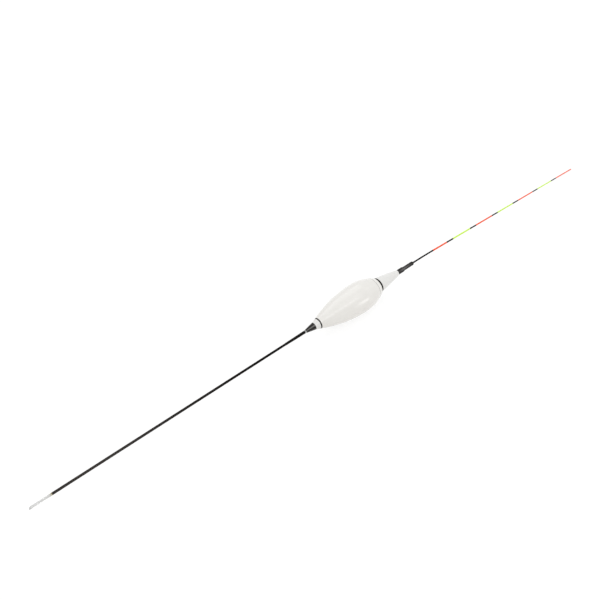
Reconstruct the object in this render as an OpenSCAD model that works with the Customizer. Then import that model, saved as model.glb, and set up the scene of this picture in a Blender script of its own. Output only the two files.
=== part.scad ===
// Slim fishing float with a plug-in antenna, lying on its belly: foot towards -X, antenna tip towards +X.
// Every piece is turned about the float's axis. Stations are measured along that axis from the foot end.

/* [Foot] */
// Outer diameter of the clear sleeve's free end
foot_sleeve_d = 1.18; // [1.1:0.02:1.18]
// Outer diameter of the clear sleeve's waist, at the foot plug's tip
foot_waist_d = 1.08; // [0.94:0.02:1.08]
// Bore of the clear sleeve
foot_bore_d = 0.5; // [0.4:0.02:0.6]
// Length of the clear sleeve beyond the foot plug
foot_free_length = 7.2; // [5:0.1:12]
// Outer diameter of the sleeve's flare, where it meets the stem
foot_flare_d = 1.18; // [1.1:0.02:1.18]
// How far the slanted cut runs along the sleeve's end
foot_cut_length = 1.3; // [0.4:0.1:2]
// Length of the foot plug's taper
plug_taper_length = 2.5; // [1.5:0.1:4]
// Diameter of the foot plug's taper at the stem
plug_taper_d = 0.76; // [0.64:0.02:0.84]
// Depth of the foot plug's spigot in the stem
plug_spigot_length = 6; // [3:0.5:12]

/* [Stem] */
// Diameter of the bare stem
stem_d = 1.2; // [1.2:0.02:1.28]
// Bore of the stem tube
stem_bore_d = 0.4; // [0.3:0.02:0.5]
// Length of the bare stem
stem_length = 120; // [80:1:160]
// Diameter of the stem's turned-down root
stem_root_d = 0.78; // [0.7:0.02:0.78]
// How far the stem's root reaches into the body
stem_in_body = 22; // [10:0.5:26]
// Outer diameter of the black sleeve's thin end, on the stem
stem_sleeve_end_d = 1.3; // [1.28:0.02:1.4]
// Outer diameter of the black sleeve's thick end, at the trim ring
stem_sleeve_d = 1.6; // [1.42:0.02:1.66]
// Length of the black sleeve
stem_sleeve_length = 12; // [6:0.5:20]
// Outer diameter of the bright trim ring
trim_ring_d = 1.7; // [1.6:0.05:1.75]
// Length of the trim ring
trim_ring_length = 0.9; // [0.4:0.1:1.5]

/* [Tail] */
// Diameter of the tail cone's small end
tail_cone_tip_d = 1.8; // [1.7:0.05:2.1]
// Diameter of the tail cone's wide end
tail_cone_d = 3.9; // [3:0.05:4.5]
// Length of the tail cone
tail_cone_length = 5.25; // [3:0.05:8]
// Diameter of the tail cone's spigot
tail_spigot_d = 2.2; // [1.6:0.05:2.6]
// Depth of the tail cone's spigot in the body
tail_spigot_depth = 5; // [2:0.5:9]
// Length of the white tail collar
tail_collar_length = 2.4; // [1:0.1:5]
// Diameter of the dark tail band at the collar
tail_band_d = 5.6; // [4.8:0.1:5.8]
// Width of the dark tail band
tail_band_width = 0.65; // [0.3:0.05:1]

/* [Body] */
// Largest diameter of the body
body_d = 16.5; // [14:0.1:20]
// Diameter of the body at its tail end
tail_d = 6; // [5.8:0.1:7]
// Diameter of the body at its neck end
neck_d = 9.9; // [9:0.1:11]
// Distance from the tail end to the widest place
belly_length = 27.5; // [24:0.25:36]
// Distance from the widest place to the neck end
shoulder_length = 12.9; // [11:0.1:16]
// Thickness of the hard coat
shell_wall = 0.5; // [0.3:0.05:0.8]
// Distance of the fine shoulder line from the widest place
line_distance = 10.3; // [8:0.1:10.7]
// Width of the fine shoulder line
line_width = 0.25; // [0.15:0.05:0.5]
// Depth of the fine shoulder line in the hard coat
line_depth = 0.12; // [0.06:0.02:0.2]

/* [Top cone] */
// Outer diameter of the dark neck band
neck_band_d = 8.3; // [8.2:0.1:9]
// Width of the dark neck band
neck_band_width = 1.6; // [0.5:0.05:1.8]
// Diameter of the top cone's base
top_cone_base_d = 8.2; // [7.4:0.1:8.6]
// Diameter of the top cone's end
top_cone_tip_d = 3.2; // [2.8:0.1:4]
// Length of the top cone
top_cone_length = 14.6; // [11:0.05:18]
// How far the top cone's side swells beyond a straight line
top_cone_swell = 0.15; // [0.05:0.05:0.4]
// Diameter of the top cone's spigot
top_spigot_d = 6; // [4:0.1:6.4]
// Depth of the top cone's spigot in the body
top_spigot_depth = 3.5; // [2:0.5:6]

/* [Socket] */
// Diameter of the socket's head
socket_head_d = 2.8; // [2.4:0.05:3]
// Length of the socket's head
socket_head_length = 5.1; // [3:0.1:7]
// Length of the bevel at the head's end
socket_bevel_length = 0.9; // [0.4:0.1:1.5]
// Diameter of the socket's tube inside the cone and body
socket_tube_d = 2.1; // [1.9:0.05:2.2]
// Length of the socket's tube below its head
socket_tube_length = 22; // [18:0.5:26]
// Bore of the socket
socket_bore_d = 1.62; // [1.58:0.02:1.7]
// Depth of the socket's bore
socket_bore_depth = 14; // [12.5:0.5:20]

/* [Antenna] */
// Diameter of the antenna's ferrule
ferrule_d = 2.2; // [1.8:0.02:2.3]
// Length of the ferrule
ferrule_length = 7.7; // [5:0.1:12]
// Length of the ferrule's bevel
ferrule_bevel_length = 0.9; // [0.4:0.1:2]
// Diameter of the ferrule's end, past its bevel
ferrule_mouth_d = 1.1; // [1:0.05:1.4]
// Length of the ferrule's plug in the socket
ferrule_plug_length = 12; // [8:0.5:13.5]
// Diameter of the antenna's core rod at its root and bend
rod_d = 0.44; // [0.42:0.02:0.5]
// Diameter of the core rod's thinner straight run
rod_tip_d = 0.36; // [0.3:0.02:0.4]
// How far the straight run reaches back into the bend
rod_joint_length = 1; // [0.5:0.1:2]
// Depth of the rod in the ferrule
rod_root_length = 15; // [6:0.5:18]
// Diameter of the antenna at its root
antenna_root_d = 0.96; // [0.7:0.02:1]
// Diameter of the antenna at its tip
antenna_tip_d = 0.64; // [0.5:0.02:0.68]
// Length of the black root
root_band_length = 16.3; // [8:0.1:25]
// Length of the first red band
first_band_length = 11.8; // [8:0.1:20]
// Length of each full colour band
band_length = 15.4; // [8:0.1:20]
// Length of each black gap between colours
band_gap = 5.7; // [3:0.1:10]
// How many full colour bands there are between the first and the last
full_bands = 5; // [1:2:9]
// Length of the red tip
tip_band_length = 18.4; // [8:0.1:25]
// How far the soft antenna leans down past its root, in degrees
antenna_lean = 3; // [0.5:0.1:5]

/* [Fits] */
// Glue film in each fixed joint, on the radius
film = 0.01; // [0.005:0.005:0.02]
// Clearance between the clear sleeve and the foot plug, on the radius
sleeve_clearance = 0.03; // [0.02:0.01:0.05]
// Clearance between the ferrule's plug and the socket, on the radius
plug_clearance = 0.03; // [0.02:0.01:0.05]

/* [Hidden] */
$fn = 96;
rod_sides = 48;
arc_sides = 720;
flat_arc_sides = 1440;

// Stations of the joints between pieces, from the foot to the ferrule's end
stem_start = foot_free_length + plug_taper_length;
sleeve_start = stem_start + stem_length;
ring_start = sleeve_start + stem_sleeve_length;
cone_start = ring_start + trim_ring_length;
collar_start = cone_start + tail_cone_length;
tail_band_start = collar_start + tail_collar_length;
body_start = tail_band_start + tail_band_width;
belly = body_start + belly_length;
body_end = belly + shoulder_length;
top_start = body_end + neck_band_width;
top_end = top_start + top_cone_length;
ferrule_start = top_end + socket_head_length;
antenna_start = ferrule_start + ferrule_length;

// The body's side is two arcs that meet at the widest place with no corner
belly_arc_r = arc_radius(belly_length, (body_d - tail_d) / 2);
shoulder_arc_r = arc_radius(shoulder_length, (body_d - neck_d) / 2);

// The top cone's side is one flat arc through its two ends
cone_side = [(top_cone_tip_d - top_cone_base_d) / 2, top_cone_length];
cone_middle = [(top_cone_base_d + top_cone_tip_d) / 4, top_start + top_cone_length / 2];
cone_arc_r = (norm(cone_side) ^ 2 / 4 + top_cone_swell ^ 2) / (2 * top_cone_swell);
cone_inward = [-cone_side[1], cone_side[0]] / norm(cone_side);
cone_arc_centre = cone_middle + cone_inward * (cone_arc_r - top_cone_swell);

// The antenna bends along its black root and then runs straight
bend_length = root_band_length;
bend_r = bend_length / antenna_lean * 180 / PI;
bend_end = [bend_r * (1 - cos(antenna_lean)), bend_r * sin(antenna_lean)];
band_pitch = band_length + band_gap;
first_gap_start = root_band_length + first_band_length;
tip_band_start = full_band_start(full_bands);
antenna_length = tip_band_start + tip_band_length;
straight_length = antenna_length - bend_length;
overall_length = antenna_start + bend_end[1] + straight_length * cos(antenna_lean);

// Radius of the arc that leaves a straight line without a corner and falls by drop over run
function arc_radius(run, drop) = (run ^ 2 + drop ^ 2) / (2 * drop);

// Antenna diameter at a distance from its root
function antenna_d(distance) = antenna_root_d + (antenna_tip_d - antenna_root_d) * distance / antenna_length;

// Angle of the bend at a distance from the antenna's root
function bend_angle(distance) = antenna_lean * distance / bend_length;

// Where each full colour band starts, from the antenna's root
function full_band_start(i) = first_gap_start + band_gap + i * band_pitch;

// Lays the upright float down on its belly, centred over the origin
module lay_down()
  translate([-overall_length / 2, 0, body_d / 2])
    rotate([0, 90, 0])
      children();

// Turns a half outline (radius, station) about the float's axis
module turned()
  lay_down()
    rotate_extrude()
      children();

// Half outline of a solid length of rod, or of a cone
module rod_area(from, length, d1, d2)
  polygon([[0, from], [d1 / 2, from], [d2 / 2, from + length], [0, from + length]]);

// Half outline of a plain hole, open to both sides of the axis
module hole_area(from, length, d)
  translate([-d / 2, from])
    square([d, length]);

// Half outline of the body, drawn in from its surface by inset
module body_area(inset) {
  intersection() {
    translate([body_d / 2 - belly_arc_r, belly])
      circle(r = belly_arc_r - inset, $fn = arc_sides);
    translate([0, body_start])
      square([body_d / 2, belly_length]);
  }
  intersection() {
    translate([body_d / 2 - shoulder_arc_r, belly])
      circle(r = shoulder_arc_r - inset, $fn = arc_sides);
    translate([0, belly])
      square([body_d / 2, shoulder_length]);
  }
}

// Half outline of the groove for the fine shoulder line, play smaller on each side
module line_area(play)
  intersection() {
    difference() {
      body_area(0);
      body_area(line_depth - play);
    }
    translate([0, belly + line_distance - line_width / 2 + play])
      square([body_d / 2, line_width - 2 * play]);
  }

// A tube that follows the antenna's bend, start to start + length along it
module bent_tube(start, length, d, bore_d)
  translate([bend_r, 0, antenna_start])
    rotate([0, bend_angle(start), 0])
      mirror([1, 0, 0])
        rotate([90, 0, 0])
          rotate_extrude(angle = bend_angle(length), $fn = arc_sides)
            translate([bend_r, 0])
              tube_section(d, bore_d);

// Sets pieces on the antenna's straight run, start along the antenna
module on_straight_run(start)
  translate([bend_end[0], 0, antenna_start + bend_end[1]])
    rotate([0, antenna_lean, 0])
      translate([0, 0, start - bend_length])
        children();

// A tube on the antenna's straight run
module straight_tube(start, length, d, bore_d)
  on_straight_run(start)
    linear_extrude(height = length)
      tube_section(d, bore_d);

// Cross section of a tube, or of a rod when the bore is nothing
module tube_section(d, bore_d)
  difference() {
    circle(d = d, $fn = rod_sides);
    if (bore_d > 0)
      circle(d = bore_d, $fn = rod_sides);
  }

// One colour band round the antenna's core rod, bent or straight as the rod is there
module band(start, length) {
  d = antenna_d(start + length / 2);
  if (start < bend_length - film)
    bent_tube(start, length, d, rod_d + 2 * film);
  else
    straight_tube(start, length, d, rod_tip_d + 2 * film);
}

// Soft clear tube on the foot, waisted, flared over the foot plug and cut off at a slant
module foot_sleeve() {
  slant = atan2(foot_cut_length, foot_sleeve_d);
  color("whitesmoke", 0.5)
    difference() {
      turned()
        difference() {
          union() {
            rod_area(0, foot_free_length, foot_sleeve_d, foot_waist_d);
            rod_area(foot_free_length, plug_taper_length - sleeve_clearance, foot_waist_d, foot_flare_d);
          }
          hole_area(-film, foot_free_length + 2 * film, foot_bore_d);
          rod_area(foot_free_length, plug_taper_length, foot_bore_d, plug_taper_d + 2 * sleeve_clearance);
        }
      lay_down()
        translate([foot_sleeve_d / 2, 0, 0])
          rotate([0, slant, 0])
            translate([-2 * foot_cut_length, -foot_sleeve_d, -2 * foot_cut_length])
              cube([4 * foot_cut_length, 2 * foot_sleeve_d, 2 * foot_cut_length]);
    }
}

// Pale plug glued into the stem's lower end
module foot_plug()
  color("ivory")
    turned() {
      rod_area(foot_free_length, plug_taper_length, foot_bore_d - 2 * sleeve_clearance, plug_taper_d);
      rod_area(stem_start, plug_spigot_length, stem_bore_d - 2 * film, stem_bore_d - 2 * film);
    }

// Carbon tube with a turned-down root that runs on into the body
module stem()
  color("#242020")
    turned()
      difference() {
        union() {
          rod_area(stem_start, stem_length, stem_d, stem_d);
          rod_area(sleeve_start, body_start + stem_in_body - sleeve_start, stem_root_d, stem_root_d);
        }
        hole_area(stem_start - film, body_start + stem_in_body - stem_start + 2 * film, stem_bore_d);
      }

// Black sleeve glued round the stem's root, a little thicker towards the body
module stem_sleeve()
  color("#0c0a0a")
    turned()
      difference() {
        rod_area(sleeve_start, stem_sleeve_length, stem_sleeve_end_d, stem_sleeve_d);
        hole_area(sleeve_start - film, stem_sleeve_length + 2 * film, stem_root_d + 2 * film);
      }

// Thin bright ring that ends the black sleeve
module trim_ring()
  color("gainsboro")
    turned()
      difference() {
        rod_area(ring_start, trim_ring_length, trim_ring_d, trim_ring_d);
        hole_area(ring_start - film, trim_ring_length + 2 * film, stem_root_d + 2 * film);
      }

// Black cone with a spigot that carries the collar and the tail band and plugs into the body
module tail_cone() {
  spigot_end = body_start + tail_spigot_depth;
  color("#141212")
    turned()
      difference() {
        union() {
          rod_area(cone_start, tail_cone_length, tail_cone_tip_d, tail_cone_d);
          rod_area(collar_start, spigot_end - collar_start, tail_spigot_d, tail_spigot_d);
        }
        hole_area(cone_start - film, spigot_end - cone_start + 2 * film, stem_root_d + 2 * film);
      }
}

// White collar that carries the cone's line on to the body
module tail_collar()
  color("#efeeea")
    turned()
      difference() {
        rod_area(collar_start, tail_collar_length, tail_cone_d, tail_band_d);
        hole_area(collar_start - film, tail_collar_length + 2 * film, tail_spigot_d + 2 * film);
      }

// Thin dark ring between the collar and the body
module tail_band()
  color("#2a2726")
    turned()
      difference() {
        rod_area(tail_band_start, tail_band_width, tail_band_d, tail_d);
        hole_area(tail_band_start - film, tail_band_width + 2 * film, tail_spigot_d + 2 * film);
      }

// Light core that gives the float its lift, bored for the pieces at both ends
module body_core()
  color("burlywood")
    turned()
      difference() {
        body_area(shell_wall + film);
        hole_area(body_start - film, tail_spigot_depth + 2 * film, tail_spigot_d + 2 * film);
        hole_area(body_start - film, stem_in_body + 2 * film, stem_root_d + 2 * film);
        hole_area(body_end - top_spigot_depth - film, top_spigot_depth + 2 * film, top_spigot_d + 2 * film);
        hole_area(top_end - socket_tube_length - film, socket_tube_length, socket_tube_d + 2 * film);
      }

// Hard pearl-white coat, open at both ends
module body_shell()
  color("#eeede8")
    turned()
      difference() {
        body_area(0);
        body_area(shell_wall);
        line_area(0);
      }

// Fine grey line let into the shoulder
module shoulder_line()
  color("#a8a7a3")
    turned()
      line_area(film);

// Dark ring in the kink under the top cone
module neck_band()
  color("#1c1a19")
    turned()
      difference() {
        rod_area(body_end, neck_band_width, neck_band_d, neck_band_d);
        hole_area(body_end - film, neck_band_width + 2 * film, top_spigot_d + 2 * film);
      }

// White cone with a spigot that carries the neck band and plugs into the body
module top_cone() {
  spigot_start = body_end - top_spigot_depth;
  color("#efeeea")
    turned()
      difference() {
        union() {
          intersection() {
            translate(cone_arc_centre)
              circle(r = cone_arc_r, $fn = flat_arc_sides);
            translate([0, top_start])
              square([top_cone_base_d, top_cone_length]);
          }
          rod_area(spigot_start, top_start - spigot_start, top_spigot_d, top_spigot_d);
        }
        hole_area(spigot_start - film, top_end - spigot_start + 2 * film, socket_tube_d + 2 * film);
      }
}

// Black socket: a head on the top cone and a blind tube that runs down into the body
module socket_tube()
  color("#322f2e")
    turned()
      difference() {
        union() {
          rod_area(top_end, socket_head_length - socket_bevel_length, socket_head_d, socket_head_d);
          rod_area(ferrule_start - socket_bevel_length, socket_bevel_length, socket_head_d, ferrule_d);
          rod_area(top_end - socket_tube_length, socket_tube_length, socket_tube_d, socket_tube_d);
        }
        hole_area(ferrule_start - socket_bore_depth, socket_bore_depth + film, socket_bore_d);
      }

// Black ferrule of the antenna: a bevelled head and the plug that goes into the socket
module antenna_ferrule() {
  plug_d = socket_bore_d - 2 * plug_clearance;
  color("#3a3736")
    turned()
      difference() {
        union() {
          rod_area(ferrule_start, ferrule_length - ferrule_bevel_length, ferrule_d, ferrule_d);
          rod_area(antenna_start - ferrule_bevel_length, ferrule_bevel_length, ferrule_d, ferrule_mouth_d);
          rod_area(ferrule_start - ferrule_plug_length, ferrule_plug_length, plug_d, plug_d);
        }
        hole_area(antenna_start - rod_root_length - film, rod_root_length + 2 * film, rod_d + 2 * film);
      }
}

// Fibre rod that carries the colour bands, glued into the ferrule
module antenna_rod() {
  cap_length = antenna_tip_d / 2;
  color("#181616")
    lay_down() {
      translate([0, 0, antenna_start - rod_root_length])
        cylinder(d = rod_d, h = rod_root_length, $fn = rod_sides);
      bent_tube(0, bend_length, rod_d, 0);
      straight_tube(
        bend_length - rod_joint_length,
        rod_joint_length + straight_length - cap_length - film,
        rod_tip_d,
        0
      );
    }
}

// Black root and black gaps of the antenna
module black_bands()
  color("#1a1817")
    lay_down() {
      band(0, root_band_length);
      band(first_gap_start, band_gap);
      for (i = [0 : full_bands - 1])
        band(full_band_start(i) + band_length, band_gap);
    }

// Red bands, first, last and every second one between, with a rounded tip
module red_bands() {
  tip_r = antenna_tip_d / 2;
  color("#f4553f")
    lay_down() {
      band(root_band_length, first_band_length);
      for (i = [1 : 2 : full_bands - 1])
        band(full_band_start(i), band_length);
      on_straight_run(tip_band_start)
        rotate_extrude($fn = rod_sides)
          tip_area(tip_r);
    }
}

// Half outline of the red tip: a tube round the rod's end, closed by a dome
module tip_area(tip_r)
  difference() {
    intersection() {
      union() {
        square([tip_r, tip_band_length - tip_r]);
        translate([0, tip_band_length - tip_r])
          circle(r = tip_r);
      }
      square([tip_r, tip_band_length]);
    }
    hole_area(-film, tip_band_length - tip_r + film, rod_tip_d + 2 * film);
  }

// Yellow bands, the others between the first and the last
module yellow_bands()
  color("#e4f25a")
    lay_down()
      for (i = [0 : 2 : full_bands - 1])
        band(full_band_start(i), band_length);

foot_sleeve();
foot_plug();
stem();
stem_sleeve();
trim_ring();
tail_cone();
tail_collar();
tail_band();
body_core();
body_shell();
shoulder_line();
neck_band();
top_cone();
socket_tube();
antenna_ferrule();
antenna_rod();
black_bands();
red_bands();
yellow_bands();
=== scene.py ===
import math

import bmesh
import bpy
from mathutils import Matrix, Vector


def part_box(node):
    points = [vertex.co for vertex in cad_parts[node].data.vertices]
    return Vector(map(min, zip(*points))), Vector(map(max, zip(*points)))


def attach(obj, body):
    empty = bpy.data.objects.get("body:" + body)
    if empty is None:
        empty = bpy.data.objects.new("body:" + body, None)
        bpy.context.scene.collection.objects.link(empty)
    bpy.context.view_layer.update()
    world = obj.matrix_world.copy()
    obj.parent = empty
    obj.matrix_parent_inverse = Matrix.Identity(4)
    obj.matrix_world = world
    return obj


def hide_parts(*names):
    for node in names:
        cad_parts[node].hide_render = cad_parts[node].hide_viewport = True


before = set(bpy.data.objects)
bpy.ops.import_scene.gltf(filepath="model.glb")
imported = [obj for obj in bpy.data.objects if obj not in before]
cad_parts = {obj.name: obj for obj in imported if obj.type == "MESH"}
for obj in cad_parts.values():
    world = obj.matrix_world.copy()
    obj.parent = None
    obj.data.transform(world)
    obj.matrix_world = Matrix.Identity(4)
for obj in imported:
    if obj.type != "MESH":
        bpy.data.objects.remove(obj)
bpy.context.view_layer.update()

# Sizes of the float, in millimetres. Stations run along the axis from the foot's tip.
mm = 0.001
foot_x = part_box("foot_sleeve")[0][0]
axis_z = (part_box("stem")[0][2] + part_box("stem")[1][2]) / 2


def span(node):
    """First and last station of a CAD node."""
    low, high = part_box(node)
    return (low[0] - foot_x) / mm, (high[0] - foot_x) / mm


def reach(node):
    """Largest radius of a CAD node about the axis."""
    low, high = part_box(node)
    return (high[1] - low[1]) / 2 / mm


foot_end = span("foot_sleeve")[1]
stem_start, stem_end = span("stem")
sleeve_start, ring_start = span("stem_sleeve")
cone_start, cone_spigot_end = span("tail_cone")
collar_start, band_start = span("tail_collar")
body_start, body_end = span("body_shell")
top_start = span("neck_band")[1]
top_spigot_start, top_end = span("top_cone")
socket_bottom, ferrule_start = span("socket_tube")
plug_bottom, antenna_start = span("antenna_ferrule")

# Gap of the glue between two pieces
film = 0.01

# Foot sleeve: its radii, free length, slanted cut and first square ring, and its lip and rim
foot_tip_r, foot_waist_r, foot_flare_r, foot_bore_r = 0.59, 0.54, 0.59, 0.25
foot_free, foot_cut, foot_square = 7.2, 1.3, 1.7
foot_lip, rim_round, rim_drop, rim_land = 0.04, 0.015, 0.008, 0.035

# Foot plug, stem and the sleeve on the stem
plug_r, plug_tip_r, plug_gap = 0.38, 0.22, 0.03
plug_spigot_r, plug_spigot_length = 0.19, 6
stem_r, stem_root_r, stem_bore_r = reach("stem"), 0.39, 0.2
stem_sleeve_end_r, stem_sleeve_r = 0.65, 0.8

# Tail, body and the hairline let into its shoulder
cone_tip_r, cone_wide_r, cone_spigot_r, tail_band_r = 0.9, 1.95, 1.1, 2.8
belly = 178.4
body_r, tail_r, neck_r, coat_wall = reach("body_shell"), 3.0, 4.95, 0.5
hairline, hairline_width, hairline_depth = belly + 10.3, 0.25, 0.12
hairline_sunk, hairline_crown_sunk = 0.02, 0.008

# Top cone, socket and ferrule
top_base_r, top_tip_r, top_swell, top_spigot_r = 4.1, 1.6, 0.15, 3.0
socket_r, socket_tube_r, socket_bore_r = reach("socket_tube"), 1.05, 0.81
socket_bore_depth, socket_bevel = 14, 0.9
ferrule_r, ferrule_mouth_r, ferrule_plug_r = reach("antenna_ferrule"), 0.55, 0.78
ferrule_bevel, rod_root = 0.9, 15

# Antenna: its rod, its bands and its droop
rod_r, rod_tip_r = 0.22, 0.18
antenna_root_r, antenna_tip_r = 0.48, 0.32
root_band, first_band, full_band, gap_band, tip_band = 16.3, 11.8, 15.4, 5.7, 18.4
full_bands = 5
band_edge, band_edge_drop = 0.05, 0.02
lean = math.radians(3.0)
bend_r = root_band / lean
band_pitch = full_band + gap_band
first_gap = root_band + first_band
full_starts = [first_gap + gap_band + i * band_pitch for i in range(full_bands)]
tip_start = full_starts[-1] + band_pitch
antenna_length = tip_start + tip_band

# Points round a piece
round_body, round_neck, round_tail = 160, 128, 96
round_small, round_stem, round_antenna = 64, 40, 24


# Shaping

ease_steps = 5
crisp_turn = math.radians(32)


def eased(outline, closed):
    """Rounds each corner of an outline of (station, radius, ease) by its ease."""
    points = []
    count = len(outline)
    for i, corner in enumerate(outline):
        ease = corner[2] if len(corner) > 2 else 0
        here = Vector(corner[:2])
        if ease == 0 or (not closed and i in (0, count - 1)):
            points.append(here)
            continue
        before = Vector(outline[i - 1][:2])
        after = Vector(outline[(i + 1) % count][:2])
        a = here + (before - here).normalized() * ease
        b = here + (after - here).normalized() * ease
        for k in range(ease_steps + 1):
            t = k / ease_steps
            points.append(a * (1 - t) ** 2 + here * 2 * t * (1 - t) + b * t ** 2)
    return points


def skin(shape, rows, closed):
    """Joins rows of points with faces. A row of one point closes to a fan."""
    pairs = list(zip(rows, rows[1:]))
    if closed:
        pairs.append((rows[-1], rows[0]))
    for low, high in pairs:
        around = max(len(low), len(high))
        for k in range(around):
            m = (k + 1) % around
            corners = [low[k % len(low)], low[m % len(low)]]
            corners += [high[m % len(high)], high[k % len(high)]]
            corners = [v for n, v in enumerate(corners) if v not in corners[:n]]
            if len(corners) > 2:
                shape.faces.new(corners)


def crease(shape, rows, bends):
    """Keeps an edge crisp where the outline turns a real corner."""
    for row, bend_here in zip(rows, bends):
        if len(row) > 1 and bend_here > crisp_turn:
            for k, v in enumerate(row):
                edge = shape.edges.get((v, row[(k + 1) % len(row)]))
                if edge:
                    edge.smooth = False


def corner_bends(points, closed):
    """How far the outline turns at each of its points."""
    bends = []
    for i, here in enumerate(points):
        if not closed and i in (0, len(points) - 1):
            bends.append(0)
            continue
        a = here - points[i - 1]
        b = points[(i + 1) % len(points)] - here
        bends.append(a.angle(b) if a.length > 1e-9 and b.length > 1e-9 else 0)
    return bends


def new_piece(name, shape):
    """Turns a finished shape into an object with smooth faces."""
    bmesh.ops.recalc_face_normals(shape, faces=shape.faces)
    for face in shape.faces:
        face.smooth = True
    mesh = bpy.data.meshes.new(name)
    shape.to_mesh(mesh)
    shape.free()
    piece = bpy.data.objects.new(name, mesh)
    bpy.context.collection.objects.link(piece)
    return piece


def stations(start, end, count):
    """Evenly spaced stations from start to end, in count steps."""
    return [start + (end - start) * k / count for k in range(count + 1)]


def turns(around):
    """Angles of the points round a piece."""
    return [2 * math.pi * k / around for k in range(around)]


def on_axis(station, radius, angle):
    """Point at a station, a radius from the axis. Angle 0 is straight up."""
    return (
        foot_x + station * mm,
        radius * mm * math.sin(angle),
        axis_z + radius * mm * math.cos(angle),
    )


def turned(name, outline, around, closed=True):
    """A piece turned about the float's axis from its outline."""
    points = eased(outline, closed)
    shape = bmesh.new()
    rows = []
    for station, radius in points:
        if radius < 1e-6:
            rows.append([shape.verts.new(on_axis(station, 0, 0))])
        else:
            rows.append([shape.verts.new(on_axis(station, radius, a)) for a in turns(around)])
    skin(shape, rows, closed)
    crease(shape, rows, corner_bends(points, closed))
    return new_piece(name, shape)


def settle(piece, finish, body, node):
    """Gives a piece its finish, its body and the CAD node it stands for."""
    piece.data.materials.append(finish)
    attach(piece, body)
    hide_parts(node)


# The float's pieces, from the foot to the tip

def make_foot_sleeve():
    """Soft tube: flared over the plug, cut off at a slant with its tip below."""
    shape = bmesh.new()
    steps = 8
    flare = foot_end - foot_free
    inner = plug_r + plug_gap

    def cut(radius, angle):
        return foot_cut * (foot_tip_r + radius * math.cos(angle)) / (2 * foot_tip_r)

    def tube_r(station):
        return foot_tip_r + (foot_waist_r - foot_tip_r) * station / foot_free

    def slant_row(radius, push=0.0):
        return [
            shape.verts.new(on_axis(cut(radius, a) + push, radius, a)) for a in turns(round_stem)
        ]

    def row(radius, station):
        return [shape.verts.new(on_axis(station, radius, a)) for a in turns(round_stem)]

    rows = [
        slant_row(foot_bore_r + foot_lip),
        slant_row(tube_r(foot_cut) - foot_lip),
        slant_row(tube_r(foot_cut), foot_lip),
    ]
    rows += [row(tube_r(s), s) for s in stations(foot_square, foot_free, steps)]
    rows += [
        row(foot_waist_r + (foot_flare_r - foot_waist_r) * t, foot_free + flare * t)
        for t in (0.1, 0.3, 0.5, 0.7, 0.9)
    ]
    rows += [
        row(foot_flare_r - rim_round, foot_end - rim_drop),
        row(foot_flare_r - rim_land, foot_end),
        row(inner + rim_round, foot_end),
    ]
    rows += [
        row(foot_bore_r + (inner - foot_bore_r) * t, foot_free + flare * t)
        for t in (0.95, 0.7, 0.45, 0.2)
    ]
    rows += [row(foot_bore_r, s) for s in stations(foot_free, foot_square, steps)]
    rows += [slant_row(foot_bore_r, foot_lip)]
    skin(shape, rows, True)
    return new_piece("clear_foot_sleeve", shape)


def make_foot_plug():
    spigot_end = stem_start + plug_spigot_length
    outline = [
        (foot_free, 0),
        (foot_free, plug_tip_r, 0.05),
        (stem_start, plug_r, 0.02),
        (stem_start, plug_spigot_r),
        (spigot_end, plug_spigot_r, 0.04),
        (spigot_end, 0),
    ]
    return turned("pale_foot_plug", outline, round_stem, closed=False)


def make_stem():
    end_gap, steps = 2, 24
    rings = [stem_start + end_gap]
    rings += stations(stem_start + 2 * end_gap, sleeve_start - end_gap, steps)
    outline = [(stem_start, stem_bore_r), (stem_start, stem_r, 0.05)]
    outline += [(s, stem_r) for s in rings]
    outline += [
        (sleeve_start, stem_r, 0.03),
        (sleeve_start, stem_root_r),
        (stem_end, stem_root_r, 0.03),
        (stem_end, stem_bore_r),
    ]
    return turned("carbon_stem", outline, round_stem)


def make_stem_sleeve():
    bore = stem_root_r + film
    outline = [
        (sleeve_start, bore),
        (sleeve_start, stem_sleeve_end_r, 0.04),
        (ring_start, stem_sleeve_r, 0.2),
        (ring_start, bore),
    ]
    return turned("black_stem_sleeve", outline, round_stem)


def make_trim_ring():
    bore = stem_root_r + film
    wide = reach("trim_ring")
    outline = [
        (ring_start, bore),
        (ring_start, wide, 0.22),
        (cone_start, wide, 0.22),
        (cone_start, bore),
    ]
    return turned("bright_trim_ring", outline, round_small)


def make_tail_cone():
    bore = stem_root_r + film
    outline = [
        (cone_start, bore),
        (cone_start, cone_tip_r, 0.08),
        (collar_start, cone_wide_r, 0.04),
        (collar_start, cone_spigot_r),
        (cone_spigot_end, cone_spigot_r, 0.05),
        (cone_spigot_end, bore),
    ]
    return turned("black_tail_cone", outline, round_tail)


def make_tail_collar():
    bore = cone_spigot_r + film
    outline = [
        (collar_start, bore),
        (collar_start, cone_wide_r, 0.05),
        (band_start, tail_band_r, 0.05),
        (band_start, bore),
    ]
    return turned("white_tail_collar", outline, round_tail)


def make_tail_band():
    bore = cone_spigot_r + film
    outline = [
        (band_start, bore),
        (band_start, tail_band_r, 0.06),
        (body_start, tail_r, 0.06),
        (body_start, bore),
    ]
    return turned("dark_tail_band", outline, round_tail)


def arc_radius(run, drop):
    """Radius of an arc that leaves the widest place and falls by drop over run."""
    return (run ** 2 + drop ** 2) / (2 * drop)


def body_radius(station, inset=0.0):
    """Radius of the pear-shaped body at a station."""
    if station < belly:
        arc = arc_radius(belly - body_start, body_r - tail_r)
    else:
        arc = arc_radius(body_end - belly, body_r - neck_r)
    return body_r - arc + math.sqrt((arc - inset) ** 2 - (station - belly) ** 2)


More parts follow.
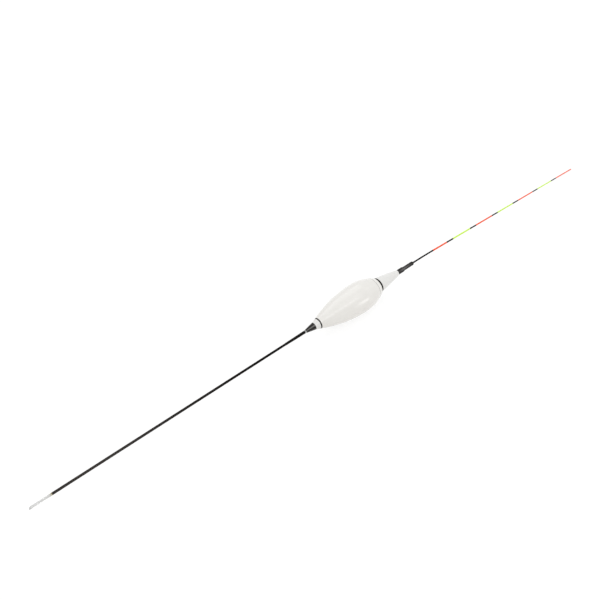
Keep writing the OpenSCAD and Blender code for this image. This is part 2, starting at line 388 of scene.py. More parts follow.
def make_body_shell():
    low, high = hairline - hairline_width / 2, hairline + hairline_width / 2
    belly_steps, shoulder_steps, neck_steps, inner_steps = 56, 30, 10, 40
    outline = [(s, body_radius(s)) for s in stations(body_start, belly, belly_steps)]
    outline += [(s, body_radius(s)) for s in stations(belly, low, shoulder_steps)[1:]]
    outline += [(s, body_radius(s) - hairline_depth) for s in (low, high)]
    outline += [(s, body_radius(s)) for s in stations(high, body_end, neck_steps)[:-1]]
    outline += [(body_end, body_radius(body_end), 0.1)]
    inside = stations(body_end, body_start, inner_steps)
    outline += [(s, body_radius(s, coat_wall)) for s in inside]
    return turned("body_coat", outline, round_body)


def make_hairline():
    low = hairline - hairline_width / 2 + film
    high = hairline + hairline_width / 2 - film
    outline = [
        (low, body_radius(low) - hairline_sunk),
        (hairline, body_radius(hairline) - hairline_crown_sunk),
        (high, body_radius(high) - hairline_sunk),
        (high, body_radius(high) - hairline_depth + film),
        (low, body_radius(low) - hairline_depth + film),
    ]
    return turned("shoulder_hairline", outline, round_body)


def make_neck_band():
    bore = top_spigot_r + film
    wide = reach("neck_band")
    outline = [
        (body_end, bore),
        (body_end, wide, 0.12),
        (top_start, wide, 0.2),
        (top_start, bore),
    ]
    return turned("dark_neck_band", outline, round_neck)


def make_top_cone():
    bore = socket_tube_r + film
    length = top_end - top_start
    steps = 24

    def side(k):
        t = k / steps
        swell = top_swell * 4 * t * (1 - t)
        return top_start + length * t, top_base_r + (top_tip_r - top_base_r) * t + swell

    outline = [(top_start, top_spigot_r), (*side(0), 0.08)]
    outline += [side(k) for k in range(1, steps)]
    outline += [
        (*side(steps), 0.12),
        (top_end, bore),
        (top_spigot_start, bore),
        (top_spigot_start, top_spigot_r, 0.05),
    ]
    return turned("white_top_cone", outline, round_neck)


def make_socket():
    bottom = ferrule_start - socket_bore_depth
    outline = [
        (bottom, 0),
        (bottom, socket_bore_r),
        (ferrule_start, socket_bore_r, 0.04),
        (ferrule_start, ferrule_r, 0.04),
        (ferrule_start - socket_bevel, socket_r, 0.15),
        (top_end, socket_r, 0.05),
        (top_end, socket_tube_r),
        (socket_bottom, socket_tube_r, 0.05),
        (socket_bottom, 0),
    ]
    return turned("black_socket", outline, round_small, closed=False)


def make_ferrule():
    bore = rod_r + film
    rod_end = antenna_start - rod_root
    outline = [
        (plug_bottom, 0),
        (plug_bottom, ferrule_plug_r, 0.15),
        (ferrule_start, ferrule_plug_r),
        (ferrule_start, ferrule_r, 0.04),
        (antenna_start - ferrule_bevel, ferrule_r, 0.15),
        (antenna_start, ferrule_mouth_r, 0.06),
        (antenna_start, bore),
        (rod_end, bore),
        (rod_end, 0),
    ]
    return turned("black_antenna_ferrule", outline, round_small, closed=False)


def antenna_place(distance):
    """Point and upward direction on the drooping antenna, at a distance from its root."""
    if distance <= root_band:
        angle = distance / bend_r
        along, drop = bend_r * math.sin(angle), bend_r * (1 - math.cos(angle))
    else:
        angle = lean
        rest = distance - root_band
        along = bend_r * math.sin(lean) + rest * math.cos(lean)
        drop = bend_r * (1 - math.cos(lean)) + rest * math.sin(lean)
    point = Vector((foot_x + (antenna_start + along) * mm, 0, axis_z - drop * mm))
    return point, Vector((math.sin(angle), 0, math.cos(angle)))


def antenna_radius(distance):
    return antenna_root_r + (antenna_tip_r - antenna_root_r) * distance / antenna_length


def add_band(shape, start, length, tip):
    """One colour band round the rod: a coat with slightly rounded edges, or the domed tip."""
    bore = (rod_r if start < root_band else rod_tip_r) + film
    end = start + length
    dome = antenna_tip_r if tip else 0
    dome_steps = 7
    ring_every = 1.5

    def row(distance, radius):
        point, up = antenna_place(distance)
        side = Vector((0, 1, 0))
        return [
            shape.verts.new(point + (up * math.cos(a) + side * math.sin(a)) * radius * mm)
            for a in turns(round_antenna)
        ]

    def edge_row(distance):
        return row(distance, antenna_radius(distance) - band_edge_drop)

    first, last = start + band_edge, end - band_edge - dome
    rings = stations(first, last, max(4, round(length / ring_every)))
    rows = [row(start, bore), edge_row(start)]
    rows += [row(s, antenna_radius(s)) for s in rings]
    if tip:
        for k in range(dome_steps):
            t = math.pi / 2 * k / dome_steps
            rows.append(row(end - dome + dome * math.sin(t), dome * math.cos(t)))
        rows.append([shape.verts.new(antenna_place(end)[0])])
        skin(shape, rows, False)
        bottom = end - dome - film
        inner = [rows[0], row(bottom, bore)]
        inner.append([shape.verts.new(antenna_place(bottom)[0])])
        skin(shape, inner, False)
    else:
        rows += [edge_row(end), row(end, bore)]
        skin(shape, rows, True)


def make_bands(name, spans):
    shape = bmesh.new()
    for start, length, tip in spans:
        add_band(shape, start, length, tip)
    return new_piece(name, shape)


black_spans = [(0, root_band, False), (first_gap, gap_band, False)]
black_spans += [(start + full_band, gap_band, False) for start in full_starts]
red_spans = [(root_band, first_band, False)]
red_spans += [(start, full_band, False) for start in full_starts[1::2]]
red_spans += [(tip_start, tip_band, True)]
yellow_spans = [(start, full_band, False) for start in full_starts[0::2]]


# Nodes

def put(tree, kind, inputs=None, **settings):
    """Adds a node, with its settings and its inputs as values or links."""
    made = tree.nodes.new(kind)
    for setting, value in settings.items():
        setattr(made, setting, value)
    for socket, value in (inputs or {}).items():
        if isinstance(value, bpy.types.NodeSocket):
            tree.links.new(value, made.inputs[socket])
        else:
            made.inputs[socket].default_value = value
    return made


def maths(tree, operation, a, b=0.0):
    return put(tree, "ShaderNodeMath", {0: a, 1: b}, operation=operation).outputs[0]


def share_of(tree, mask, share):
    """A mask at a share of its strength."""
    return maths(tree, "MULTIPLY", mask, share)


def blend_colour(tree, share, a, b):
    made = put(tree, "ShaderNodeMix", {0: share, 6: a, 7: b}, data_type="RGBA")
    return made.outputs[2]


def ramp(tree, value, low, high, start=0.0, end=1.0):
    """Maps low to start and high to end, with soft shoulders."""
    made = put(tree, "ShaderNodeMapRange", {
        "Value": value, "From Min": low, "From Max": high, "To Min": start, "To Max": end,
    }, interpolation_type="SMOOTHSTEP")
    return made.outputs[0]


def vector(tree, x, y, z):
    return put(tree, "ShaderNodeCombineXYZ", {0: x, 1: y, 2: z}).outputs[0]


def noise(tree, place, scale, detail, roughness):
    made = put(tree, "ShaderNodeTexNoise", {
        "Vector": place, "Scale": scale, "Detail": detail, "Roughness": roughness,
    })
    return made.outputs["Fac"]


def bump(tree, height, depth_mm):
    made = put(tree, "ShaderNodeBump", {
        "Height": height, "Distance": depth_mm * mm, "Strength": 1.0,
    })
    return made.outputs[0]


def barrel(tree):
    """Place on the float: station in mm, and the direction round the axis as two parts."""
    spot = put(tree, "ShaderNodeTexCoord").outputs["Object"]
    parts = put(tree, "ShaderNodeSeparateXYZ", {0: spot}).outputs
    station = maths(tree, "MULTIPLY", maths(tree, "SUBTRACT", parts[0], foot_x), 1 / mm)
    flat = vector(tree, 0.0, parts[1], maths(tree, "SUBTRACT", parts[2], axis_z))
    way = put(tree, "ShaderNodeVectorMath", {0: flat}, operation="NORMALIZE").outputs[0]
    round_parts = put(tree, "ShaderNodeSeparateXYZ", {0: way}).outputs
    return station, round_parts[1], round_parts[2]


def in_mm(tree):
    """Place on the float in millimetres."""
    spot = put(tree, "ShaderNodeTexCoord").outputs["Object"]
    scale = (1 / mm, 1 / mm, 1 / mm)
    return put(tree, "ShaderNodeVectorMath", {0: spot, 1: scale}, operation="MULTIPLY").outputs[0]


# Effects that several finishes share, as node groups

NUMBER, COLOUR = "NodeSocketFloat", "NodeSocketColor"
WHITE = (1.0, 1.0, 1.0, 1.0)


def new_effect(name, inputs, outputs):
    """An empty node group: its inputs with their first values, and the names of its outputs."""
    tree = bpy.data.node_groups.new(name, "ShaderNodeTree")
    for label, value in inputs.items():
        kind = COLOUR if isinstance(value, tuple) else NUMBER
        tree.interface.new_socket(label, in_out="INPUT", socket_type=kind).default_value = value
    for label in outputs:
        kind = COLOUR if label == "Colour" else NUMBER
        tree.interface.new_socket(label, in_out="OUTPUT", socket_type=kind)
    return tree, put(tree, "NodeGroupInput").outputs, put(tree, "NodeGroupOutput").inputs


def make_colour_drift():
    """Slow drift between two shades of one coat."""
    tree, given, out = new_effect(
        "colour drift", {"Shade A": WHITE, "Shade B": WHITE, "Patch Size": 5.0}, ["Colour"]
    )
    scale = maths(tree, "DIVIDE", 1.0, given["Patch Size"])
    cloud = noise(tree, in_mm(tree), scale, detail=3.0, roughness=0.55)
    share = ramp(tree, cloud, 0.35, 0.65)
    tree.links.new(blend_colour(tree, share, given["Shade A"], given["Shade B"]), out["Colour"])
    return tree


def make_lacquer_film():
    """Fine ripple of a brushed or dipped coat, and where it is duller."""
    tree, given, out = new_effect(
        "lacquer film", {"Ripple Size": 1.0, "Gloss": 0.2, "Dullness": 0.1}, ["Height", "Roughness"]
    )
    place = in_mm(tree)
    scale = maths(tree, "DIVIDE", 1.0, given["Ripple Size"])
    tree.links.new(noise(tree, place, scale, detail=2.0, roughness=0.4), out["Height"])
    smear = ramp(tree, noise(tree, place, scale=0.35, detail=4.0, roughness=0.6), 0.4, 0.7)
    dulling_and_painted_shade = maths(tree, "MULTIPLY", smear, given["Dullness"])
    tree.links.new(maths(tree, "ADD", given["Gloss"], dulling_and_painted_shade), out["Roughness"])
    return tree


def make_long_streaks():
    """Streaks that run along the float's axis."""
    tree, given, out = new_effect(
        "long streaks",
        {"Streaks Round": 4.0, "Streak Length": 20.0, "Low": 0.4, "High": 0.6},
        ["Mask"],
    )
    station, side, up = barrel(tree)
    place = vector(
        tree,
        maths(tree, "MULTIPLY", side, given["Streaks Round"]),
        maths(tree, "MULTIPLY", up, given["Streaks Round"]),
        maths(tree, "DIVIDE", station, given["Streak Length"]),
    )
    cloud = noise(tree, place, scale=1.0, detail=3.0, roughness=0.6)
    tree.links.new(ramp(tree, cloud, given["Low"], given["High"]), out["Mask"])
    return tree


def make_turned_lines():
    """Fine lines left round a turned or rolled piece."""
    tree, given, out = new_effect("turned lines", {"Line Pitch": 0.1}, ["Mask"])
    station, side, up = barrel(tree)
    waver = 0.15
    place = vector(
        tree,
        maths(tree, "MULTIPLY", side, waver),
        maths(tree, "MULTIPLY", up, waver),
        maths(tree, "DIVIDE", station, given["Line Pitch"]),
    )
    cloud = noise(tree, place, scale=1.0, detail=2.0, roughness=0.5)
    tree.links.new(ramp(tree, cloud, 0.3, 0.7), out["Mask"])
    return tree


def make_painted_light_stripe():
    """Mask of one soft stripe of painted light along a piece, at a set turn round the axis from
    straight up.
    """
    tree, given, out = new_effect("painted light stripe", {"Turn": 0.0, "Narrowness": 0.9}, ["Mask"])
    side, up = barrel(tree)[1:]
    turn = maths(tree, "RADIANS", given["Turn"])
    across = maths(tree, "MULTIPLY", side, maths(tree, "SINE", turn))
    facing = maths(tree, "ADD", across, maths(tree, "MULTIPLY", up, maths(tree, "COSINE", turn)))
    tree.links.new(ramp(tree, facing, given["Narrowness"], 1.0), out["Mask"])
    return tree


def make_station_fade():
    """Fades from one station to another along the float."""
    tree, given, out = new_effect("station fade", {"Start": 0.0, "End": 1.0}, ["Mask"])
    tree.links.new(ramp(tree, barrel(tree)[0], given["Start"], given["End"]), out["Mask"])
    return tree


def make_dust_specks():
    """Few fine specks caught in a coat."""
    tree, given, out = new_effect(
        "dust specks", {"Speck Spacing": 1.0, "Speck Size": 0.1}, ["Mask"]
    )
    scale = maths(tree, "DIVIDE", 1.0, given["Speck Spacing"])
    cells = put(tree, "ShaderNodeTexVoronoi", {"Vector": in_mm(tree), "Scale": scale})
    half = maths(tree, "MULTIPLY", given["Speck Size"], 0.5)
    mask = ramp(tree, cells.outputs["Distance"], half, given["Speck Size"], 1.0, 0.0)
    tree.links.new(mask, out["Mask"])
    return tree


colour_drift = make_colour_drift()
lacquer_film = make_lacquer_film()
long_streaks = make_long_streaks()
turned_lines = make_turned_lines()
painted_light_stripe = make_painted_light_stripe()
station_fade = make_station_fade()
dust_specks = make_dust_specks()


def effect(tree, group, **values):
    """Places a shared effect in a finish, with its own values."""
    inputs = {label.replace("_", " ").title(): value for label, value in values.items()}
    return put(tree, "ShaderNodeGroup", inputs, node_tree=group).outputs


def drift(tree, a, b, patch):
    """Colour that drifts between two shades, in patches of a size in mm."""
    return effect(tree, colour_drift, shade_a=a, shade_b=b, patch_size=patch)["Colour"]


def streaks(tree, count, length, low, high):
    """Mask of streaks: about how many round the axis, their length in mm and their threshold."""
    made = effect(tree, long_streaks, streaks_round=count, streak_length=length, low=low, high=high)
    return made["Mask"]


def lines(tree, pitch):
    """Mask of fine lines round the axis, with their pitch in mm."""
    return effect(tree, turned_lines, line_pitch=pitch)["Mask"]


def fade(tree, start, end):
    """Mask that rises from one station to another."""
    return effect(tree, station_fade, start=start, end=end)["Mask"]


def specks(tree, spacing, size):
    """Mask of fine specks, with their spacing in mm and their size in shares of it."""
    return effect(tree, dust_specks, speck_spacing=spacing, speck_size=size)["Mask"]


def painted_light_at_turns(tree, painted_light_and_streak_marks):
    """Several stripes of painted light in one mask. Each mark is (turn, narrowness, strength)."""
    mask = None
    for turn, narrowness, strength in painted_light_and_streak_marks:
        one = effect(tree, painted_light_stripe, turn=turn, narrowness=narrowness)["Mask"]
        one = share_of(tree, one, strength)
        mask = one if mask is None else maths(tree, "MAXIMUM", mask, one)
    return mask


# Finishes

def rgb(r, g, b):
    return (r, g, b, 1.0)


def tinted(colour, factor):
    return rgb(*[min(1.0, c * factor) for c in colour[:3]])


def new_finish(name, **constants):
    """A material with a principled shader, and the constants of that shader."""
    finish = bpy.data.materials.new(name)
    finish.use_nodes = True
    tree = finish.node_tree
    shader = tree.nodes["Principled BSDF"]
    for label, value in constants.items():
        shader.inputs[label.replace("_", " ")].default_value = value
    return finish, tree, shader.inputs


def lay_film(tree, shader, ripple, gloss, dullness, depth_mm):
    """Roughness and fine ripple of a coat, from the shared lacquer film."""
    made = effect(tree, lacquer_film, ripple_size=ripple, gloss=gloss, dullness=dullness)
    tree.links.new(made["Roughness"], shader["Roughness"])
    tree.links.new(bump(tree, made["Height"], depth_mm), shader["Normal"])


def lay_grain(tree, shader, mask, low, high, depth_mm):
    """Roughness from low to high and a bump, both from one mask."""
    tree.links.new(ramp(tree, mask, 0.0, 1.0, low, high), shader["Roughness"])
    tree.links.new(bump(tree, mask, depth_mm), shader["Normal"])


def make_pearl_white(name, shade, deep):
    """White lacquer with a faint pearl, a fine ripple and a gloss top coat."""
    finish, tree, shader = new_finish(
        name, Coat_Weight=1.0, Coat_Roughness=0.18, Coat_IOR=1.6, Specular_IOR_Level=0.1
    )
    colour = drift(tree, shade, deep, patch=7.0)
    pearl = put(tree, "ShaderNodeTexVoronoi", {"Vector": in_mm(tree), "Scale": 7.0})
    glint = ramp(tree, pearl.outputs["Distance"], 0.0, 0.6, 0.0, 0.35)
    colour = blend_colour(tree, glint, colour, tinted(deep, 0.985))
    brushed = share_of(tree, streaks(tree, count=5.0, length=30.0, low=0.45, high=0.7), 0.25)
    colour = blend_colour(tree, brushed, colour, tinted(shade, 1.02))
    speck = share_of(tree, specks(tree, spacing=3.0, size=0.03), 0.2)
    colour = blend_colour(tree, speck, colour, rgb(0.5, 0.48, 0.45))
    tree.links.new(colour, shader["Base Color"])
    lay_film(tree, shader, ripple=1.3, gloss=0.3, dullness=0.12, depth_mm=0.006)
    return finish


def make_ring_lacquer(name, dark, worn_and_highlight_break):
    """Thin dark ring, brushed on by hand while the float turns."""
    finish, tree, shader = new_finish(name, Specular_IOR_Level=0.12)
    brushed = share_of(tree, lines(tree, pitch=0.09), 0.5)
    colour = blend_colour(tree, brushed, drift(tree, dark, worn_and_highlight_break, patch=1.1), worn_and_highlight_break)
    tree.links.new(colour, shader["Base Color"])
    lay_film(tree, shader, ripple=0.5, gloss=0.28, dullness=0.2, depth_mm=0.006)
    return finish


def make_stem_carbon():
    """Carbon tube wound with fine tape: bare at the foot, black lacquer towards the body."""
    finish, tree, shader = new_finish("wound carbon", Specular_IOR_Level=0.05)
    tape_pitch = 1.05
    all_bare, all_lacquer = 24.0, 118.0
    station, side, up = barrel(tree)
    turn = maths(tree, "DIVIDE", maths(tree, "ARCTAN2", side, up), 2 * math.pi)
    wound = maths(tree, "ADD", maths(tree, "DIVIDE", station, tape_pitch), turn)
    middle = maths(tree, "SUBTRACT", maths(tree, "FRACT", wound), 0.5)
    seam = ramp(tree, maths(tree, "ABSOLUTE", middle), 0.12, 0.34, 1.0, 0.0)
    bare = fade(tree, start=all_lacquer, end=all_bare)
    fibres = streaks(tree, count=6.0, length=9.0, low=0.35, high=0.7)
    ground = blend_colour(tree, fibres, rgb(0.024, 0.020, 0.018), rgb(0.040, 0.034, 0.031))
    ground = blend_colour(tree, share_of(tree, seam, 0.5), ground, rgb(0.075, 0.068, 0.062))
    lacquer = drift(tree, rgb(0.0035, 0.002, 0.0015), rgb(0.007, 0.004, 0.003), patch=4.0)
    colour = blend_colour(tree, bare, lacquer, ground)
    glue = share_of(tree, fade(tree, start=stem_start + 0.28, end=stem_start + 0.05), 0.5)
    colour = blend_colour(tree, glue, colour, rgb(0.36, 0.25, 0.07))
    tree.links.new(colour, shader["Base Color"])
    dulling_and_painted_shade = maths(tree, "ADD", share_of(tree, bare, 0.2), share_of(tree, fibres, 0.1))
    tree.links.new(maths(tree, "ADD", dulling_and_painted_shade, 0.24), shader["Roughness"])
    tree.links.new(bump(tree, maths(tree, "MULTIPLY", seam, bare), 0.02), shader["Normal"])
    return finish


def make_black_sleeve():
    """Black shrunk-on sleeve with a soft gloss and long draw lines."""
    finish, tree, shader = new_finish("shrunk black sleeve", Specular_IOR_Level=0.06)
    drawn = streaks(tree, count=5.0, length=8.0, low=0.4, high=0.75)
    colour = blend_colour(tree, drawn, rgb(0.004, 0.003, 0.0025), rgb(0.013, 0.010, 0.009))
    tree.links.new(colour, shader["Base Color"])
    lay_film(tree, shader, ripple=0.6, gloss=0.22, dullness=0.15, depth_mm=0.008)
    return finish


def make_bright_ring():
    """Polished ring with fine lathe lines, and painted shade: darker places at set turns round it.
    """
    finish, tree, shader = new_finish("polished ring", Metallic=1.0)
    lathe = lines(tree, pitch=0.05)
    colour = blend_colour(tree, lathe, rgb(0.50, 0.50, 0.49), rgb(0.62, 0.62, 0.61))
    # Painted shade: darker base colour at three turns round the ring.
    dulling_and_painted_shade = painted_light_at_turns(tree, ((-12, 0.4, 1.0), (112, 0.6, 0.8), (225, 0.6, 0.7)))
    colour = blend_colour(tree, dulling_and_painted_shade, colour, rgb(0.24, 0.24, 0.235))
    tree.links.new(colour, shader["Base Color"])
    lay_grain(tree, shader, lathe, low=0.18, high=0.34, depth_mm=0.004)
    return finish


def make_black_cone():
    """Black lacquered cone with painted highlights at set turns round it, and faint paler streaks
    along it.
    """
    finish, tree, shader = new_finish("black cone lacquer", Specular_IOR_Level=0.12)
    # Painted highlights: paler stripes at set turns round the cone.
    painted_highlights = painted_light_at_turns(tree, (
        (-29, 0.955, 1.0), (22, 0.985, 0.3), (-82, 0.98, 0.5),
        (70, 0.98, 0.6), (118, 0.97, 0.8), (190, 0.98, 0.6),
    ))
    fine = streaks(tree, count=7.0, length=25.0, low=0.45, high=0.75)
    # Fine streaks along the cone, which also break up the painted highlights.
    worn_and_highlight_break = maths(tree, "ADD", share_of(tree, fine, 0.5), 0.6)
    painted_light_and_streak_marks = maths(tree, "ADD", maths(tree, "MULTIPLY", painted_highlights, worn_and_highlight_break), share_of(tree, fine, 0.12))
    # The pale grey is the colour of the painted highlights and of the faint streaks.
    colour = blend_colour(tree, painted_light_and_streak_marks, rgb(0.014, 0.012, 0.011), rgb(0.225, 0.22, 0.213))
    tree.links.new(colour, shader["Base Color"])
    made = effect(tree, lacquer_film, ripple_size=0.7, gloss=0.25, dullness=0.15)
    tree.links.new(made["Roughness"], shader["Roughness"])
    tree.links.new(bump(tree, painted_light_and_streak_marks, 0.01), shader["Normal"])
    return finish


def make_black_moulding(name, pale, dark):
    """Dark moulded plastic with painted highlights at set turns round it, and painted shade from a
    pale station to a dark one.
    """
    finish, tree, shader = new_finish(name, Specular_IOR_Level=0.15)
    grain = streaks(tree, count=3.5, length=30.0, low=0.35, high=0.7)
    # Painted highlights: paler stripes at set turns round the piece, broken up by the grain.
    painted_light_and_streak_marks = painted_light_at_turns(tree, ((-36, 0.86, 1.0), (50, 0.88, 0.7), (140, 0.86, 0.9), (230, 0.88, 0.7)))
    worn_and_highlight_break = maths(tree, "ADD", share_of(tree, grain, 0.3), 0.75)
    painted_light_and_streak_marks = maths(tree, "MULTIPLY", painted_light_and_streak_marks, worn_and_highlight_break)
    colour = blend_colour(tree, painted_light_and_streak_marks, rgb(0.022, 0.020, 0.019), rgb(0.15, 0.145, 0.14))
    # Painted shade: darker towards the dark station, at the piece's end.
    end = share_of(tree, fade(tree, start=pale, end=dark), 0.85)
    colour = blend_colour(tree, end, colour, rgb(0.008, 0.007, 0.006))
    speck = share_of(tree, specks(tree, spacing=0.7, size=0.06), 0.3)
    colour = blend_colour(tree, speck, colour, rgb(0.25, 0.24, 0.23))
    tree.links.new(colour, shader["Base Color"])
    lay_grain(tree, shader, lines(tree, pitch=0.12), low=0.32, high=0.46, depth_mm=0.005)
    return finish


def make_bright_lacquer(name, thin, full, painted_glow):
    """Fluorescent lacquer: a little uneven, with a faint painted glow in its own colour."""
    finish, tree, shader = new_finish(name, Emission_Strength=painted_glow, Specular_IOR_Level=0.15)
    brushed = share_of(tree, lines(tree, pitch=0.35), 0.35)
    colour = blend_colour(tree, brushed, drift(tree, thin, full, patch=2.2), thin)
    tree.links.new(colour, shader["Base Color"])
    # Painted glow: the lacquer colour also lights itself faintly.
    tree.links.new(colour, shader["Emission Color"])
    lay_film(tree, shader, ripple=0.4, gloss=0.36, dullness=0.15, depth_mm=0.004)
    return finish


def make_clear_silicone():
    """Clear soft tube, slightly milky, with faint lines along it and a glue stain at the stem."""
    finish, tree, shader = new_finish(
        "clear silicone", IOR=1.41, Transmission_Weight=0.4, Metallic=0.0
    )
    drawn = streaks(tree, count=3.0, length=6.0, low=0.35, high=0.7)
    colour = blend_colour(tree, drawn, rgb(0.94, 0.94, 0.935), rgb(0.89, 0.89, 0.88))
    stain = fade(tree, start=foot_end - 1.1, end=foot_end - 0.05)
    colour = blend_colour(tree, stain, colour, rgb(0.66, 0.62, 0.45))
    tree.links.new(colour, shader["Base Color"])
    lay_film(tree, shader, ripple=1.6, gloss=0.18, dullness=0.08, depth_mm=0.004)
    return finish


def make_pale_resin():
    """Pale plug, amber with glue where it meets the stem."""
    finish, tree, shader = new_finish("pale plug resin", Specular_IOR_Level=0.4)
    pale = drift(tree, rgb(0.86, 0.85, 0.79), rgb(0.80, 0.79, 0.72), patch=0.6)
    glue = fade(tree, start=stem_start - 0.3, end=stem_start - 0.02)
    colour = blend_colour(tree, glue, pale, rgb(0.55, 0.45, 0.2))
    tree.links.new(colour, shader["Base Color"])
    lay_film(tree, shader, ripple=0.3, gloss=0.35, dullness=0.2, depth_mm=0.005)
    return finish


def make_balsa():
    """Balsa core: pale wood with long pores, its end faces sealed with white lacquer."""
    finish, tree, shader = new_finish("balsa core", Specular_IOR_Level=0.2)
    pores = streaks(tree, count=9.0, length=5.0, low=0.35, high=0.65)
    wood = blend_colour(tree, pores, rgb(0.62, 0.46, 0.28), rgb(0.78, 0.63, 0.43))
    neck_end = fade(tree, start=body_end - 0.08, end=body_end - 0.03)
    tail_end = fade(tree, start=body_start + 0.08, end=body_start + 0.03)
    sealed = maths(tree, "MAXIMUM", neck_end, tail_end)
    white = drift(tree, rgb(0.84, 0.826, 0.79), rgb(0.78, 0.765, 0.73), patch=1.5)
    tree.links.new(blend_colour(tree, sealed, wood, white), shader["Base Color"])
    lay_grain(tree, shader, pores, low=0.85, high=0.65, depth_mm=0.03)
    return finish


def make_rod_fibre():
    """Dark fibre rod inside the antenna."""
    finish, tree, shader = new_finish("rod fibre", Specular_IOR_Level=0.4)
    fibres = streaks(tree, count=5.0, length=15.0, low=0.4, high=0.7)
    colour = blend_colour(tree, fibres, rgb(0.010, 0.009, 0.009), rgb(0.035, 0.032, 0.030))
    tree.links.new(colour, shader["Base Color"])
    lay_grain(tree, shader, fibres, low=0.3, high=0.5, depth_mm=0.004)
    return finish


body_white = make_pearl_white(
    "body pearl white", rgb(0.84, 0.826, 0.79), rgb(0.82, 0.804, 0.768)
)
cone_white = make_pearl_white(
    "cone white", rgb(0.808, 0.804, 0.784), rgb(0.788, 0.783, 0.762)
)
band_dark = make_ring_lacquer(
    "dark tail ring", rgb(0.012, 0.011, 0.010), rgb(0.035, 0.032, 0.030)
)
neck_dark = make_ring_lacquer(
    "dark neck ring", rgb(0.008, 0.007, 0.006), rgb(0.025, 0.023, 0.022)
)
hairline_grey = make_ring_lacquer(
    "grey hairline", rgb(0.26, 0.26, 0.25), rgb(0.38, 0.38, 0.37)
)
band_black = make_ring_lacquer(
    "black antenna lacquer", rgb(0.004, 0.0035, 0.003), rgb(0.012, 0.011, 0.010)
)
carbon = make_stem_carbon()
sleeve_black = make_black_sleeve()
ring_metal = make_bright_ring()
cone_black = make_black_cone()
socket_black = make_black_moulding(
    "socket moulding", pale=ferrule_start - 0.6, dark=top_end - 0.6
)
ferrule_black = make_black_moulding(
    "ferrule moulding", pale=ferrule_start - 1.0, dark=antenna_start - 0.4
)
red = make_bright_lacquer(
    "fluorescent red", rgb(0.87, 0.098, 0.026), rgb(0.83, 0.078, 0.016), painted_glow=0.06
)
yellow = make_bright_lacquer(
    "fluorescent yellow", rgb(0.60, 0.86, 0.10), rgb(0.54, 0.82, 0.06), painted_glow=0.08
)
silicone = make_clear_silicone()
resin = make_pale_resin()
balsa = make_balsa()
fibre = make_rod_fibre()

settle(make_foot_sleeve(), silicone, "sleeve", "foot_sleeve")
settle(make_foot_plug(), resin, "float", "foot_plug")
settle(make_stem(), carbon, "float", "stem")
settle(make_stem_sleeve(), sleeve_black, "float", "stem_sleeve")
settle(make_trim_ring(), ring_metal, "float", "trim_ring")
settle(make_tail_cone(), cone_black, "float", "tail_cone")
settle(make_tail_collar(), cone_white, "float", "tail_collar")
settle(make_tail_band(), band_dark, "float", "tail_band")
settle(make_body_shell(), body_white, "float", "body_shell")
settle(make_hairline(), hairline_grey, "float", "shoulder_line")
settle(make_neck_band(), neck_dark, "float", "neck_band")
settle(make_top_cone(), cone_white, "float", "top_cone")
settle(make_socket(), socket_black, "float", "socket_tube")
settle(make_ferrule(), ferrule_black, "antenna", "antenna_ferrule")

black_coats = make_bands("black_band_coats", black_spans)
red_coats = make_bands("red_band_coats", red_spans)
yellow_coats = make_bands("yellow_band_coats", yellow_spans)
settle(black_coats, band_black, "antenna", "black_bands")
settle(red_coats, red, "antenna", "red_bands")
settle(yellow_coats, yellow, "antenna", "yellow_bands")

# The core and the rod keep their CAD meshes.
for node, finish in (("body_core", balsa), ("antenna_rod", fibre)):
    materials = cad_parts[node].data.materials
    materials.clear()
    materials.append(finish)


# Floor, light and camera

def shown_rays(tree):
    """1 for rays that show a surface: seen directly, in gloss or through glass."""
    rays = put(tree, "ShaderNodeLightPath").outputs
    seen = maths(tree, "MAXIMUM", rays["Is Camera Ray"], rays["Is Glossy Ray"])
    return maths(tree, "MAXIMUM", seen, rays["Is Transmission Ray"])


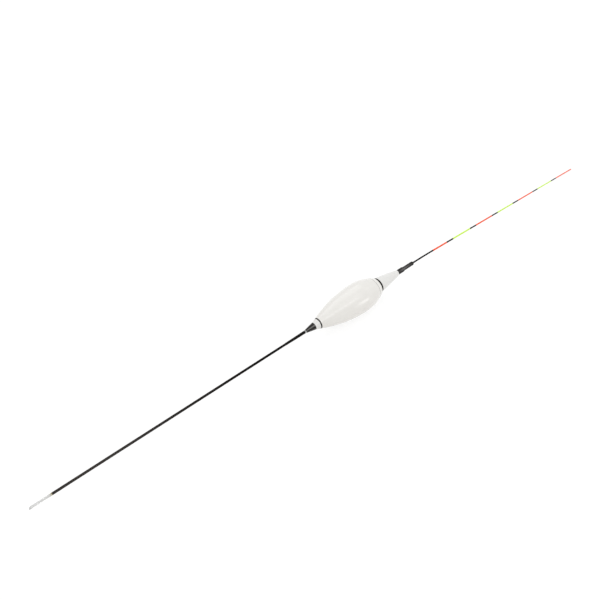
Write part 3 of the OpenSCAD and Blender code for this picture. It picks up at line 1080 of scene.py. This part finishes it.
def make_floor():
    """Floor that lights the object as a pale surface and shows as white."""
    half, shown_glow = 3, 0.76
    shape = bmesh.new()
    corners = ((-half, -half), (half, -half), (half, half), (-half, half))
    shape.faces.new([shape.verts.new((x, y, 0)) for x, y in corners])
    floor = new_piece("pale_floor", shape)
    finish, tree, shader = new_finish(
        "pale floor", Roughness=0.9, Specular_IOR_Level=0.1, Emission_Color=WHITE
    )
    shown = shown_rays(tree)
    colour = blend_colour(tree, shown, rgb(0.88, 0.865, 0.845), rgb(0.30, 0.30, 0.30))
    tree.links.new(colour, shader["Base Color"])
    tree.links.new(share_of(tree, shown, shown_glow), shader["Emission Strength"])
    floor.data.materials.append(finish)


def make_world():
    """Pale room that shows as white."""
    room_light, shown_light = 0.745, 1.0
    world = bpy.data.worlds.new("white studio")
    bpy.context.scene.world = world
    world.use_nodes = True
    tree = world.node_tree
    ground = tree.nodes["Background"]
    ground.inputs["Color"].default_value = WHITE
    light = ramp(tree, shown_rays(tree), 0.0, 1.0, room_light, shown_light)
    tree.links.new(light, ground.inputs["Strength"])


def make_lamp(name, place, along, size, power):
    """A flat soft light that faces the body, with its first side along a direction."""
    lamp = bpy.data.lights.new(name, "AREA")
    lamp.shape = "RECTANGLE"
    lamp.size, lamp.size_y = size
    lamp.energy = power
    held = bpy.data.objects.new(name, lamp)
    middle = Vector((foot_x + belly * mm, 0, axis_z))
    away = Vector(place).normalized()
    side = Vector(along)
    side = (side - away * side.dot(away)).normalized()
    held.location = middle + Vector(place)
    held.rotation_euler = Matrix((side, away.cross(side), away)).transposed().to_euler()
    bpy.context.collection.objects.link(held)


def make_camera():
    lens = bpy.data.cameras.new("camera")
    lens.sensor_width = 36.0
    lens.lens = 36.6
    lens.clip_start = 0.005
    camera = bpy.data.objects.new("camera", lens)
    place = Vector((foot_x + 0.01346, -0.14928, 0.23740))
    aim = Vector((foot_x + 0.14886, 0.01204, 0.01679))
    camera.location = place
    camera.rotation_euler = (aim - place).to_track_quat("-Z", "Y").to_euler()
    bpy.context.collection.objects.link(camera)
    bpy.context.scene.camera = camera


make_floor()
make_world()
# Two panels for the veil of gloss on the body, a strip for its streak and a window for its spot
make_lamp("back_panel", (0.12, 0.55, 0.75), (1, 0, 0), (0.95, 0.7), 1.7)
make_lamp("top_panel", (0.02, -0.26, 0.79), (1, 0, 0), (0.85, 0.77), 0.65)
make_lamp("long_strip", (0.0, -0.46, 0.68), (1, 0, 0), (0.75, 0.11), 0.55)
make_lamp("small_window", (0.28, -0.52, 0.11), (0.88, 0.47, 0), (0.1, 0.18), 0.16)
make_camera()
bpy.context.scene.view_settings.view_transform = "Standard"
